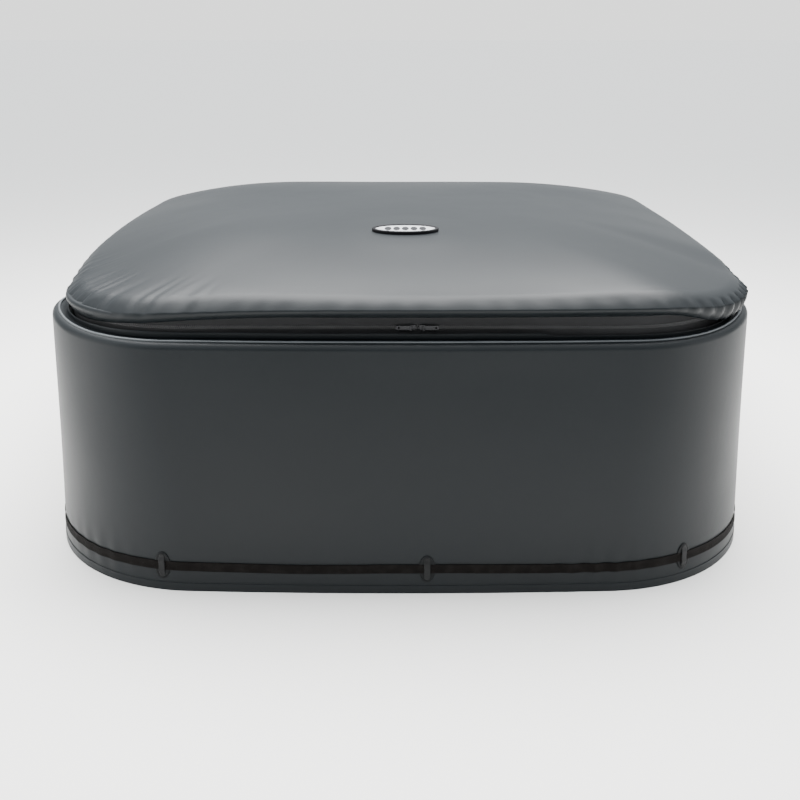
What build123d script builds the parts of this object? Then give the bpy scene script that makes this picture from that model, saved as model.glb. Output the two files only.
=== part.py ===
from build123d import *
from math import sqrt
import os

os.makedirs("parts", exist_ok=True)

# A soft insulated cover for a square inflatable spa: a flared wall that wraps the tub, and a
# puffed lid that is zipped to it on three sides and folds back on the fourth.
# +Z is up, the front is towards -Y, and the origin is on the floor under the middle.

# ---- wall
wall_half = 1075.0          # middle of a side to the centre, at the floor
wall_corner = 500.0         # corner radius at the floor
shoulder_half = 1027.0      # the same two sizes where the wall would meet its top, before the roll
shoulder_corner = 412.0
wall_height = 705.0         # floor to the welt
shoulder_roll = 20.0        # radius that the wall turns in with
side_bow_radius = 13500.0   # every side bows out a little

skin = 2.0                  # outer laminate
wall_foam_thickness = 6.0
foil = 1.0                  # inner lining
hem_height = 24.0
hem_thickness = 1.5
closing_strip_width = 36.0
closing_strip_thickness = 1.5
closing_strip_height = 600.0
welt_radius = 3.2
welt_round = 3.0            # rounding of the bead's top
guard_height = 17.0         # low strip in front of the zip
guard_thickness = 1.5
guard_from_welt = 21.0      # the ledge between them

# ---- zip round the top of the wall
zip_half = 958.0            # outer face of the tape to the centre
zip_corner = 372.0
tape = 1.5
tape_height = 24.0          # of each of the two tapes, outside its row of teeth
tooth_height = 4.5          # one row
tooth_depth = 4.5
zip_play = 0.3              # between the two rows, and between a slider and the teeth
hinge_half_width = 560.0    # the rear stretch without a zip
stop_length = 8.0
slider_length = 24.0
slider_plate = 3.0
slider_lip = 2.0            # how far the plate reaches past the teeth
slider_round = 3.0          # corner radius
slider_spacing = 34.0       # between the two sliders where they meet
slider_meeting = 46.0       # their meeting point from the middle of the front
pull_length = 40.0
pull_width = 11.0
pull_thickness = 2.0
pull_tip = 4.4              # corner radius of its free end
pull_hole = 2.75            # radius, near the free end
pull_hole_place = 32.0      # from the pin
pull_eye = 2.9              # radius of the round end
pull_pin = 1.4
pin_play = 0.05
ear_thickness = 1.6
ear_play = 0.3

# ---- lid
lid_edge_half = 972.0       # underside edge, where it hinges
lid_edge_corner = 366.0
lid_bulge_half = 1013.0     # widest line of the lid's edge
lid_bulge_corner = 400.0
lid_tuck = 30.0             # underside to the widest line
lid_ridge_half = 962.0      # ridge that the top starts from
lid_ridge_corner = 360.0
lid_ridge_rise = 64.0       # underside to the ridge
lid_crown = 91.0            # ridge to the highest point
tuck_knee = (0.4, 0.75)     # shares of the tuck's height and swell where its edge turns up
roll_knees = ((0.5, 0.8), (0.85, 0.4))  # the same on the roll between widest line and ridge
crown_power = 3.0           # flat in the middle, steeper towards the ridge
crown_rings = 6
lid_ledge = 40.0            # the skin's turned-in strip under the lid
lid_seam_width = 12.0
lid_seam_thickness = 1.2
lid_foam_thickness = 8.0
bladder_wall = 1.0
baffle_thickness = 2.0
baffle_spacing = 330.0
baffle_count = 4
baffle_length = 1100.0

# ---- valve and pocket zip under the lid
valve_x = 620.0
valve_y = -560.0
valve_radius = 17.0
valve_bore = 8.0
valve_lip = 3.0             # how far the valve stands out below the lining
collar_radius = 34.0
collar_thickness = 1.2
cap_radius = 16.0
cap_plate = 3.0
cap_plug = 6.0
cap_plug_taper = 12.0       # degrees
cap_play = 0.3
cap_barrel = 2.5            # the cap's hinge barrel
pocket_length = 900.0
pocket_y = -800.0
pocket_tape_width = 30.0

# ---- badge
badge_x = 9.0
badge_y = -504.0
badge_length = 180.0
badge_width = 104.0
badge_height = 9.0
badge_rim = 10.0
badge_recess = 3.0          # rim top down to the face

# ---- belt
belt_height = 75.0          # floor to the middle of the webbing
belt_width = 30.0
belt_thickness = 1.6
belt_stand_off = 4.2        # wall to the webbing
belt_play = 0.4             # webbing's faces to a slot
belt_edge_play = 1.0        # webbing's edges to a slot
loop_count = 10
loops_on_left = 4           # of them, counted from the front loop
loop_pitch = 737.0          # along the wall
front_loop = 75.0           # from the middle of the front
loop_length = 80.0
loop_width = 46.0
loop_round = 20.5           # corner radius of the patch, nearly an oval
loop_skin = 2.0
bridge_width = 19.0
bridge_round = 8.5
bridge_from_edge = 4.0      # patch's end to the bridge's end
bridge_thickness = 2.4
bridge_foot = 14.0
buckle_wall = 2.2
buckle_width = 42.0
socket_round = 5.0          # corner radii
plug_round = 4.0
keeper_round = 3.0
socket_length = 44.0
socket_slot = 12.0          # how far the webbing's end goes in
plug_length = 28.0
plug_gap = 1.0              # plug's shoulder to the socket's mouth
tongue_length = 30.0
tongue_width = 28.0
keeper_length = 14.0
keeper_from_buckle = 130.0

# ---- heights and slopes that follow
wall_layers = skin + wall_foam_thickness + foil
lower_row = wall_height + tape_height
teeth_middle = lower_row + tooth_height + zip_play / 2
upper_row = teeth_middle + zip_play / 2
lid_base = upper_row + tooth_height + tape_height
wall_lean = (wall_half - shoulder_half) / wall_height
belt_foot = belt_height - belt_width / 2
belt_top = belt_height + belt_width / 2


def rounded_square(half, corner):
    """A square outline with bowed sides and tangent corner arcs."""
    bow_centre = half - side_bow_radius
    reach = side_bow_radius - corner
    centre = (bow_centre + sqrt(2 * reach**2 - bow_centre**2)) / 2
    grow = side_bow_radius / reach
    along = centre * grow
    across = bow_centre + (centre - bow_centre) * grow
    diagonal = centre + corner / sqrt(2)
    with BuildLine() as quarter:
        ThreePointArc((-along, across), (0, half), (along, across))
        ThreePointArc((along, across), (diagonal, diagonal), (across, along))
    with BuildLine() as path:
        for turn in range(4):
            add(quarter.line.rotate(Axis.Z, -90 * turn))
    return path.wire()


def wall_form(inset, rolled=True):
    """The wall's closed form, moved in by inset, with or without its rolled shoulder."""
    with BuildPart() as form:
        with BuildSketch():
            make_face(rounded_square(wall_half - inset, wall_corner - inset).edges())
        with BuildSketch(Plane.XY.offset(wall_height - inset)):
            make_face(rounded_square(shoulder_half - inset, shoulder_corner - inset).edges())
        loft(ruled=True)
        if rolled:
            fillet(form.edges().group_by(Axis.Z)[-1], shoulder_roll - inset)
    return form.part


def slab(bottom, top):
    """Everything between two heights."""
    with BuildPart() as space:
        with BuildSketch(Plane.XY.offset(bottom)):
            Rectangle(3 * wall_half, 3 * wall_half)
        extrude(amount=top - bottom)
    return space.part


def wall_band(outer, inner, bottom, top):
    """A band that lies on the straight part of the wall; insets below 0 are outside it."""
    with BuildPart() as band:
        add(wall_form(outer, rolled=False))
        add(wall_form(inner, rolled=False), mode=Mode.SUBTRACT)
        add(slab(bottom, top), mode=Mode.INTERSECT)
    return band.part


def straight_square(half, corner, bottom, top):
    """An upright block with straight sides and round corners."""
    with BuildPart() as block:
        with BuildSketch(Plane.XY.offset(bottom)):
            RectangleRounded(2 * half, 2 * half, corner)
        extrude(amount=top - bottom)
    return block.part


def zip_ring(outer, thickness, bottom, top):
    """A ring on the zip's line; outer is its outer face's distance out from the tape's."""
    with BuildPart() as ring:
        add(straight_square(zip_half + outer, zip_corner + outer, bottom, top))
        inner = outer - thickness
        inside = straight_square(zip_half + inner, zip_corner + inner, bottom, top)
        add(inside, mode=Mode.SUBTRACT)
        add(hinge_stretch, mode=Mode.SUBTRACT)
    return ring.part


def lid_form(inset):
    """The lid's closed form, moved in by inset: a tucked edge, a ridge and a crown."""
    swell = lid_bulge_half - lid_edge_half
    below = lid_tuck - inset
    above = lid_ridge_rise - inset - lid_tuck
    rings = [(inset, lid_edge_half, lid_edge_corner)]
    knee_half = lid_edge_half + tuck_knee[1] * swell
    rings.append((inset + tuck_knee[0] * below, knee_half, lid_bulge_corner))
    rings.append((lid_tuck, lid_bulge_half, lid_bulge_corner))
    for rise_share, swell_share in roll_knees:
        knee_half = lid_edge_half + swell_share * swell
        rings.append((lid_tuck + rise_share * above, knee_half, lid_bulge_corner))
    rings.append((lid_tuck + above, lid_ridge_half, lid_ridge_corner))
    for step in range(1, crown_rings):
        share = 1 - step / crown_rings
        rise = lid_tuck + above + lid_crown * (1 - share**crown_power)
        rings.append((rise, lid_ridge_half * share, lid_ridge_corner * share + inset))
    with BuildPart() as form:
        for rise, half, corner in rings:
            with BuildSketch(Plane.XY.offset(lid_base + rise)):
                make_face(rounded_square(half - inset, corner - inset).edges())
        loft(ruled=True)
    return form.part


# ---- the belt's line, and the loops and buckle that sit on it
belt_share = belt_height / wall_height
belt_half = wall_half + (shoulder_half - wall_half) * belt_share
belt_corner = wall_corner + (shoulder_corner - wall_corner) * belt_share
belt_line = rounded_square(belt_half, belt_corner)
front_share = belt_line.param_at_point((0, -belt_half, 0))


def wall_plane(along, out=0.0):
    """A plane on the wall at the belt's height, some way along the belt from the front's middle.

    Its X runs along the belt to the right, its Y up the wall, and its Z out of the wall.
    """
    place = (front_share - along / belt_line.length) % 1.0
    run = -belt_line.tangent_at(place)
    outward = run.cross(Vector(0, 0, 1)) + Vector(0, 0, wall_lean)
    point = belt_line.position_at(place) + Vector(0, 0, belt_height)
    return Plane(origin=point, x_dir=run, z_dir=outward).offset(out)


first_loop = front_loop - loops_on_left * loop_pitch
last_loop = first_loop + (loop_count - 1) * loop_pitch
buckle_place = (first_loop + last_loop + belt_line.length) / 2
loop_planes = [wall_plane(first_loop + number * loop_pitch) for number in range(loop_count)]
buckle_plane = wall_plane(buckle_place)

# the rear stretch, where the lid hinges and there is no zip
with BuildPart() as hinge_space:
    with BuildSketch(Plane.XY.offset(wall_height - wall_half)):
        with Locations((0, wall_half)):
            Rectangle(2 * hinge_half_width, wall_half)
    extrude(amount=2 * wall_half)
hinge_stretch = hinge_space.part

# the hole in the wall's top, with the zip's tape standing at its edge
mouth = straight_square(zip_half, zip_corner, lower_row - wall_height, upper_row)


# ======== wall ========
def wall_layer(outer, inner):
    """One layer of the wall with its rolled shoulder, open at the floor and at the top."""
    with BuildPart() as layer:
        add(wall_form(outer))
        add(wall_form(inner), mode=Mode.SUBTRACT)
        add(mouth, mode=Mode.SUBTRACT)
    return layer.part


side_wall_skin = wall_layer(0, skin)
side_wall_skin.label = "side_wall_skin"
export_step(side_wall_skin, "parts/side_wall_skin.step")

# foam and foil stop above the floor, where the skin alone makes the hem
above_hem = slab(hem_height, upper_row)
with BuildPart() as wall_foam:
    add(wall_layer(skin, skin + wall_foam_thickness))
    add(above_hem, mode=Mode.INTERSECT)
wall_foam.part.label = "wall_foam"
export_step(wall_foam.part, "parts/wall_foam.step")

with BuildPart() as wall_lining:
    add(wall_layer(skin + wall_foam_thickness, wall_layers))
    add(above_hem, mode=Mode.INTERSECT)
wall_lining.part.label = "wall_lining"
export_step(wall_lining.part, "parts/wall_lining.step")

# welded bead where the wall turns in
welt_half = shoulder_half - shoulder_roll
welt_corner = shoulder_corner - shoulder_roll
with BuildPart() as shoulder_welt:
    with BuildSketch(Plane.XY.offset(wall_height - welt_radius)):
        make_face(rounded_square(welt_half + welt_radius, welt_corner + welt_radius).edges())
        inside = rounded_square(welt_half - welt_radius, welt_corner - welt_radius)
        make_face(inside.edges(), mode=Mode.SUBTRACT)
    extrude(amount=2 * welt_radius)
    fillet(shoulder_welt.edges().group_by(Axis.Z)[-1], welt_round)
    add(wall_form(0), mode=Mode.SUBTRACT)
shoulder_welt.part.label = "shoulder_welt"
export_step(shoulder_welt.part, "parts/shoulder_welt.step")

# low strip that stands in front of the zip
guard_half = welt_half - welt_radius - guard_from_welt
guard_corner = welt_corner - welt_radius - guard_from_welt
with BuildPart() as zip_guard:
    with BuildSketch(Plane.XY.offset(wall_height)):
        make_face(rounded_square(guard_half, guard_corner).edges())
        inside = rounded_square(guard_half - guard_thickness, guard_corner - guard_thickness)
        make_face(inside.edges(), mode=Mode.SUBTRACT)
    extrude(amount=guard_height)
    add(hinge_stretch, mode=Mode.SUBTRACT)
zip_guard.part.label = "zip_guard"
export_step(zip_guard.part, "parts/zip_guard.step")

bottom_hem = wall_band(-hem_thickness, 0, 0, hem_height)
bottom_hem.label = "bottom_hem"
export_step(bottom_hem, "parts/bottom_hem.step")

# strip over the joint where the wall's two ends meet at the back
with BuildPart() as wall_closing_strip:
    with BuildSketch(Plane.XZ):
        with Locations((0, belt_top + closing_strip_height / 2)):
            Rectangle(closing_strip_width, closing_strip_height - belt_top)
    extrude(amount=-2 * wall_half)
    clad = wall_band(-closing_strip_thickness, 0, belt_top, belt_top + closing_strip_height)
    add(clad, mode=Mode.INTERSECT)
wall_closing_strip.part.label = "wall_closing_strip"
export_step(wall_closing_strip.part, "parts/wall_closing_strip.step")


# ======== zip ========
row_out = (tooth_depth - tape) / 2
lower_zip_tape = zip_ring(0, tape, wall_height - wall_layers, lower_row)
lower_zip_tape.label = "lower_zip_tape"
export_step(lower_zip_tape, "parts/lower_zip_tape.step")

lower_zip_teeth = zip_ring(row_out, tooth_depth, lower_row, lower_row + tooth_height)
lower_zip_teeth.label = "lower_zip_teeth"
export_step(lower_zip_teeth, "parts/lower_zip_teeth.step")

upper_zip_teeth = zip_ring(row_out, tooth_depth, upper_row, upper_row + tooth_height)
upper_zip_teeth.label = "upper_zip_teeth"
export_step(upper_zip_teeth, "parts/upper_zip_teeth.step")

upper_zip_tape = zip_ring(0, tape, upper_row + tooth_height, lid_base)
upper_zip_tape.label = "upper_zip_tape"
export_step(upper_zip_tape, "parts/upper_zip_tape.step")

# stops at the two rear ends of the lower row
with BuildPart() as zip_end_stops:
    with BuildSketch(Plane.XY.offset(lower_row)):
        for side in (-1, 1):
            with Locations((side * (hinge_half_width - stop_length / 2), zip_half - tape / 2)):
                Rectangle(stop_length, tooth_depth + tape)
    extrude(amount=tooth_height)
zip_end_stops.part.label = "zip_end_stops"
export_step(zip_end_stops.part, "parts/zip_end_stops.step")

# plain stretch of fabric that the lid turns on
with BuildPart() as rear_hinge_band:
    with BuildSketch(Plane.XY.offset(wall_height)):
        with Locations((0, lid_edge_half - tape / 2)):
            Rectangle(2 * hinge_half_width, tape)
    extrude(amount=lid_base - zip_play - wall_height)
rear_hinge_band.part.label = "rear_hinge_band"
export_step(rear_hinge_band.part, "parts/rear_hinge_band.step")

# a slider is a plate over both rows with a lip under one of them, and two ears for its pull;
# its plane lies on the tape's face, X along the rows and Z out
row_stand = row_out + zip_play
row_reach = tooth_height + zip_play / 2
plate_reach = row_reach + slider_lip
pin_stand = row_stand + slider_plate + pull_eye + ear_play
ear_reach = pull_width / 2 + ear_play + ear_thickness


def zip_slider(plane):
    with BuildPart() as slider:
        with BuildSketch(plane.offset(row_stand)):
            RectangleRounded(slider_length, 2 * plate_reach, slider_round)
        extrude(amount=slider_plate)
        with BuildSketch(plane.offset(zip_play)):
            with Locations((0, -(row_reach + zip_play + plate_reach) / 2)):
                Rectangle(slider_length / 2, plate_reach - row_reach - zip_play)
        extrude(amount=row_stand)
        with BuildSketch(plane.offset(row_stand + slider_plate)):
            with Locations((0, ear_reach - ear_thickness / 2), (0, ear_thickness / 2 - ear_reach)):
                Rectangle(2 * pull_eye, ear_thickness)
        extrude(amount=2 * pull_eye + ear_play)
        across = Plane(origin=plane.origin, x_dir=plane.x_dir, z_dir=plane.y_dir)
        with BuildSketch(across.offset(-ear_reach)):
            with Locations((0, -pin_stand)):
                Circle(pull_pin)
        extrude(amount=2 * ear_reach)
    return slider.part


def zip_pull(plane, side):
    """A flat pull with a round eye on the slider's pin, pointing to one side along X."""
    across = Plane(origin=plane.origin, x_dir=plane.x_dir, z_dir=plane.y_dir)
    with BuildPart() as pull:
        with BuildSketch(across.offset(-pull_width / 2)):
            with Locations((side * pull_length / 2, -pin_stand)):
                Rectangle(pull_length, pull_thickness)
            with Locations((0, -pin_stand)):
                Circle(pull_eye)
                Circle(pull_pin + pin_play, mode=Mode.SUBTRACT)
        extrude(amount=pull_width)
        tip = pull.edges().filter_by(Axis(plane.origin, plane.z_dir)).sort_by(plane.location.x_axis)
        fillet(tip[-2:] if side > 0 else tip[:2], pull_tip)
        with BuildSketch(plane.offset(pin_stand)):
            with Locations((side * pull_hole_place, 0)):
                Circle(pull_hole)
        extrude(amount=pull_thickness, both=True, mode=Mode.SUBTRACT)
    return pull.part


for name, side in (("left", -1), ("right", 1)):
    place = (slider_meeting + side * slider_spacing / 2, -zip_half, teeth_middle)
    front_plane = Plane(origin=place, x_dir=(1, 0, 0), z_dir=(0, -1, 0))
    slider = zip_slider(front_plane)
    slider.label = name + "_zip_slider"
    export_step(slider, "parts/" + slider.label + ".step")
    pull = zip_pull(front_plane, side)
    pull.label = name + "_zip_pull"
    export_step(pull, "parts/" + pull.label + ".step")


# ======== lid ========
lid_outer = lid_form(0)
lid_under_skin = lid_form(skin)
lid_under_foam = lid_form(skin + lid_foam_thickness)
ledge_half = lid_edge_half - lid_ledge
ledge_corner = lid_edge_corner - lid_ledge
widest = lid_base + lid_tuck
lid_top = lid_base + lid_ridge_rise + lid_crown

with BuildPart() as lid_shell:
    add(lid_outer)
    add(lid_under_skin, mode=Mode.SUBTRACT)
    add(straight_square(ledge_half, ledge_corner, lid_base, widest), mode=Mode.SUBTRACT)

with BuildPart() as lid_top_skin:
    add(lid_shell.part)
    add(slab(widest, lid_top), mode=Mode.INTERSECT)
lid_top_skin.part.label = "lid_top_skin"
export_step(lid_top_skin.part, "parts/lid_top_skin.step")

with BuildPart() as lid_side_band:
    add(lid_shell.part)
    add(slab(lid_base, widest), mode=Mode.INTERSECT)
lid_side_band.part.label = "lid_side_band"
export_step(lid_side_band.part, "parts/lid_side_band.step")

# welded seam round the lid's widest line
with BuildPart() as lid_seam:
    add(lid_form(-lid_seam_thickness))
    add(lid_outer, mode=Mode.SUBTRACT)
    add(slab(widest - lid_seam_width, widest), mode=Mode.INTERSECT)
lid_seam.part.label = "lid_seam"
export_step(lid_seam.part, "parts/lid_seam.step")

with BuildPart() as lid_foam:
    add(lid_under_skin)
    add(lid_under_foam, mode=Mode.SUBTRACT)
    add(straight_square(ledge_half, ledge_corner, lid_base, widest), mode=Mode.SUBTRACT)
lid_foam.part.label = "lid_foam"
export_step(lid_foam.part, "parts/lid_foam.step")

# the foil lining under the lid, with a hole for the valve
valve_place = (valve_x, valve_y)
valve_top = lid_base + skin + lid_foam_thickness
with BuildPart() as lid_lining:
    add(straight_square(ledge_half, ledge_corner, lid_base, lid_base + foil))
    with BuildSketch(Plane.XY.offset(lid_base)):
        with Locations(valve_place):
            Circle(valve_radius + cap_play)
    extrude(amount=foil, mode=Mode.SUBTRACT)
lid_lining.part.label = "lid_lining"
export_step(lid_lining.part, "parts/lid_lining.step")

with BuildPart() as bladder:
    add(lid_under_foam)
    add(lid_form(skin + lid_foam_thickness + bladder_wall), mode=Mode.SUBTRACT)
    with BuildSketch(Plane.XY.offset(valve_top)):
        with Locations(valve_place):
            Circle(valve_bore)
    extrude(amount=bladder_wall, mode=Mode.SUBTRACT)
bladder.part.label = "bladder"
export_step(bladder.part, "parts/bladder.step")

# upright webs that hold the bladder's two faces together
with BuildPart() as bladder_baffles:
    with BuildSketch(Plane.XY.offset(valve_top)):
        with GridLocations(baffle_spacing, 0, baffle_count, 1):
            Rectangle(baffle_thickness, baffle_length)
    extrude(amount=lid_top - valve_top)
    add(lid_form(skin + lid_foam_thickness + bladder_wall), mode=Mode.INTERSECT)
bladder_baffles.part.label = "bladder_baffles"
export_step(bladder_baffles.part, "parts/bladder_baffles.step")

valve_mouth = lid_base - valve_lip
with BuildPart() as bladder_valve:
    with BuildSketch(Plane.XY.offset(valve_mouth)):
        with Locations(valve_place):
            Circle(valve_radius)
            Circle(valve_bore, mode=Mode.SUBTRACT)
    extrude(amount=valve_top - valve_mouth)
bladder_valve.part.label = "bladder_valve"
export_step(bladder_valve.part, "parts/bladder_valve.step")

with BuildPart() as valve_collar:
    with BuildSketch(Plane.XY.offset(lid_base - collar_thickness)):
        with Locations(valve_place):
            Circle(collar_radius)
            Circle(valve_radius + cap_play, mode=Mode.SUBTRACT)
    extrude(amount=collar_thickness)
valve_collar.part.label = "valve_collar"
export_step(valve_collar.part, "parts/valve_collar.step")

# the cap turns down on a barrel beside the valve
cap_top = valve_mouth - cap_play
barrel_x = valve_x - valve_radius - cap_barrel - cap_play
barrel_height = cap_top - cap_barrel
with BuildPart() as valve_cap:
    with BuildSketch(Plane.XY.offset(cap_top - cap_plate)):
        with Locations(valve_place):
            Circle(cap_radius)
        with Locations(((barrel_x + valve_x) / 2, valve_y)):
            Rectangle(valve_x - barrel_x, 2 * cap_barrel)
    extrude(amount=cap_plate)
    with BuildSketch(Plane.XY.offset(cap_top)):
        with Locations(valve_place):
            Circle(valve_bore - cap_play)
    extrude(amount=cap_plug, taper=cap_plug_taper)
    with BuildSketch(Plane.XZ.offset(-valve_y - cap_barrel)):
        with Locations((barrel_x, barrel_height)):
            Circle(cap_barrel)
    extrude(amount=2 * cap_barrel)
valve_cap.part.label = "valve_cap"
export_step(valve_cap.part, "parts/valve_cap.step")

# the pocket zip lies flat under the lining
pocket_plane = Plane(origin=(0, pocket_y, lid_base), x_dir=(1, 0, 0), z_dir=(0, 0, -1))
with BuildPart() as pocket_zip_tape:
    with BuildSketch(pocket_plane):
        Rectangle(pocket_length, pocket_tape_width)
    extrude(amount=tape)
pocket_zip_tape.part.label = "pocket_zip_tape"
export_step(pocket_zip_tape.part, "parts/pocket_zip_tape.step")

with BuildPart() as pocket_zip_teeth:
    with BuildSketch(pocket_plane.offset(tape)):
        Rectangle(pocket_length, 2 * row_reach)
    extrude(amount=row_out)
pocket_zip_teeth.part.label = "pocket_zip_teeth"
export_step(pocket_zip_teeth.part, "parts/pocket_zip_teeth.step")

pocket_start = Plane(
    origin=(slider_length - pocket_length / 2, pocket_y, lid_base - tape),
    x_dir=(1, 0, 0),
    z_dir=(0, 0, -1),
)
pocket_zip_slider = zip_slider(pocket_start)
pocket_zip_slider.label = "pocket_zip_slider"
export_step(pocket_zip_slider, "parts/pocket_zip_slider.step")
pocket_zip_pull = zip_pull(pocket_start, 1)
pocket_zip_pull.label = "pocket_zip_pull"
export_step(pocket_zip_pull, "parts/pocket_zip_pull.step")

# oval badge on the front of the top
crown_share = -badge_y / lid_ridge_half
badge_rise = lid_ridge_rise + lid_crown * (1 - crown_share**crown_power)
badge_slope = lid_crown * crown_power * crown_share**(crown_power - 1) / lid_ridge_half
badge_plane = Plane(
    origin=(badge_x, badge_y, lid_base + badge_rise),
    x_dir=(1, 0, 0),
    z_dir=(0, -badge_slope, 1),
)
with BuildPart() as badge_rim_ring:
    with BuildSketch(badge_plane.offset(-badge_height)):
        Ellipse(badge_length / 2, badge_width / 2)
    extrude(amount=2 * badge_height)
    fillet(badge_rim_ring.faces().sort_by(badge_plane.location.z_axis)[-1].edges(), badge_rim / 3)
    with BuildSketch(badge_plane.offset(badge_height - badge_recess)):
        Ellipse(badge_length / 2 - badge_rim, badge_width / 2 - badge_rim)
    extrude(amount=badge_recess, mode=Mode.SUBTRACT)
    add(lid_outer, mode=Mode.SUBTRACT)
badge_rim_ring.part.label = "badge_rim"
export_step(badge_rim_ring.part, "parts/badge_rim.step")

with BuildPart() as badge_face:
    with BuildSketch(badge_plane.offset(badge_height - badge_recess)):
        Ellipse(badge_length / 2 - badge_rim, badge_width / 2 - badge_rim)
    extrude(amount=badge_recess / 2)
badge_face.part.label = "badge_face"
export_step(badge_face.part, "parts/badge_face.step")


# ======== belt ========
plug_reach = socket_length / 2 + plug_gap
belt_inner = belt_stand_off
belt_outer = belt_stand_off + belt_thickness
slot_inner = belt_inner - belt_play
slot_outer = belt_outer + belt_play
holder_inner = slot_inner - buckle_wall
holder_outer = slot_outer + buckle_wall

# the belt's two ends meet in the buckle; between them it is open over the socket
with BuildPart() as belt_webbing:
    add(wall_band(-belt_outer, -belt_inner, belt_foot, belt_top))
    gap = socket_length / 2 - socket_slot + plug_reach
    with BuildSketch(buckle_plane):
        with Locations((gap / 2 - plug_reach, 0)):
            Rectangle(gap, 2 * belt_width)
    extrude(amount=2 * holder_outer, mode=Mode.SUBTRACT)
belt_webbing.part.label = "belt_webbing"
export_step(belt_webbing.part, "parts/belt_webbing.step")

with BuildPart() as belt_loop_patches:
    with BuildSketch(*loop_planes):
        RectangleRounded(loop_width, loop_length, loop_round)
    extrude(amount=3 * loop_skin, both=True)
    patch_height = belt_height + loop_length
    clad = wall_band(-loop_skin, 0, belt_height - loop_length, patch_height)
    add(clad, mode=Mode.INTERSECT)
belt_loop_patches.part.label = "belt_loop_patches"
export_step(belt_loop_patches.part, "parts/belt_loop_patches.step")

# each bridge is a strap over the belt, with a foot on the patch above and below it
bridge_inner = slot_outer
bridge_outer = bridge_inner + bridge_thickness
bridge_length = loop_length - 2 * bridge_from_edge
with BuildPart() as belt_loop_bridges:
    with BuildSketch(*loop_planes):
        RectangleRounded(bridge_width, bridge_length, bridge_round)
    extrude(amount=2 * bridge_outer)
    reach = bridge_length / 2
    clad = wall_band(-bridge_outer, -loop_skin, belt_height - reach, belt_height + reach)
    add(clad, mode=Mode.INTERSECT)
    tunnel = bridge_length - 2 * bridge_foot
    with BuildSketch(*loop_planes):
        Rectangle(2 * bridge_width, tunnel)
    extrude(amount=bridge_inner, mode=Mode.SUBTRACT)
belt_loop_bridges.part.label = "belt_loop_bridges"
export_step(belt_loop_bridges.part, "parts/belt_loop_bridges.step")

socket_cavity = tongue_width + 2 * belt_play
tongue_foot = slot_outer
tongue_head = tongue_foot + buckle_wall
with BuildPart() as buckle_socket:
    with BuildSketch(buckle_plane.offset(holder_inner)):
        RectangleRounded(socket_length, buckle_width, socket_round)
    extrude(amount=tongue_head + belt_play + buckle_wall - holder_inner)
    with BuildSketch(buckle_plane.offset(tongue_foot - belt_play)):
        with Locations((plug_gap - buckle_wall - socket_length / 2, 0)):
            Rectangle(2 * tongue_length + 2 * plug_gap, socket_cavity)
    extrude(amount=buckle_wall + 2 * belt_play, mode=Mode.SUBTRACT)
    with BuildSketch(buckle_plane.offset(slot_inner)):
        with Locations((socket_length / 2, 0)):
            Rectangle(2 * socket_slot, belt_width + 2 * belt_edge_play)
    extrude(amount=slot_outer - slot_inner, mode=Mode.SUBTRACT)
buckle_socket.part.label = "buckle_socket"
export_step(buckle_socket.part, "parts/buckle_socket.step")

# the plug slides on the webbing, and its tongue goes into the socket
with BuildPart() as buckle_plug:
    with BuildSketch(buckle_plane.offset(holder_inner)):
        with Locations((-plug_reach - plug_length / 2, 0)):
            RectangleRounded(plug_length, buckle_width, plug_round)
    extrude(amount=tongue_head - holder_inner)
    with BuildSketch(buckle_plane.offset(slot_inner)):
        with Locations((-plug_reach - plug_length / 2, 0)):
            Rectangle(2 * plug_length, belt_width + 2 * belt_edge_play)
    extrude(amount=slot_outer - slot_inner, mode=Mode.SUBTRACT)
    with BuildSketch(buckle_plane.offset(tongue_foot)):
        with Locations((tongue_length / 2 - plug_reach - plug_gap, 0)):
            Rectangle(tongue_length, tongue_width)
    extrude(amount=buckle_wall)
buckle_plug.part.label = "buckle_plug"
export_step(buckle_plug.part, "parts/buckle_plug.step")

keeper_plane = wall_plane(buckle_place - keeper_from_buckle)
with BuildPart() as strap_keeper:
    with BuildSketch(keeper_plane.offset(holder_inner)):
        RectangleRounded(keeper_length, buckle_width, keeper_round)
    extrude(amount=holder_outer - holder_inner)
    with BuildSketch(keeper_plane.offset(slot_inner)):
        Rectangle(2 * keeper_length, belt_width + 2 * belt_edge_play)
    extrude(amount=slot_outer - slot_inner, mode=Mode.SUBTRACT)
strap_keeper.part.label = "strap_keeper"
export_step(strap_keeper.part, "parts/strap_keeper.step")
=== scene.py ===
from math import atan2, cos, exp, floor, pi, radians, sin, sqrt

import bmesh
import bpy
from mathutils import Matrix, Vector, noise


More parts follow.
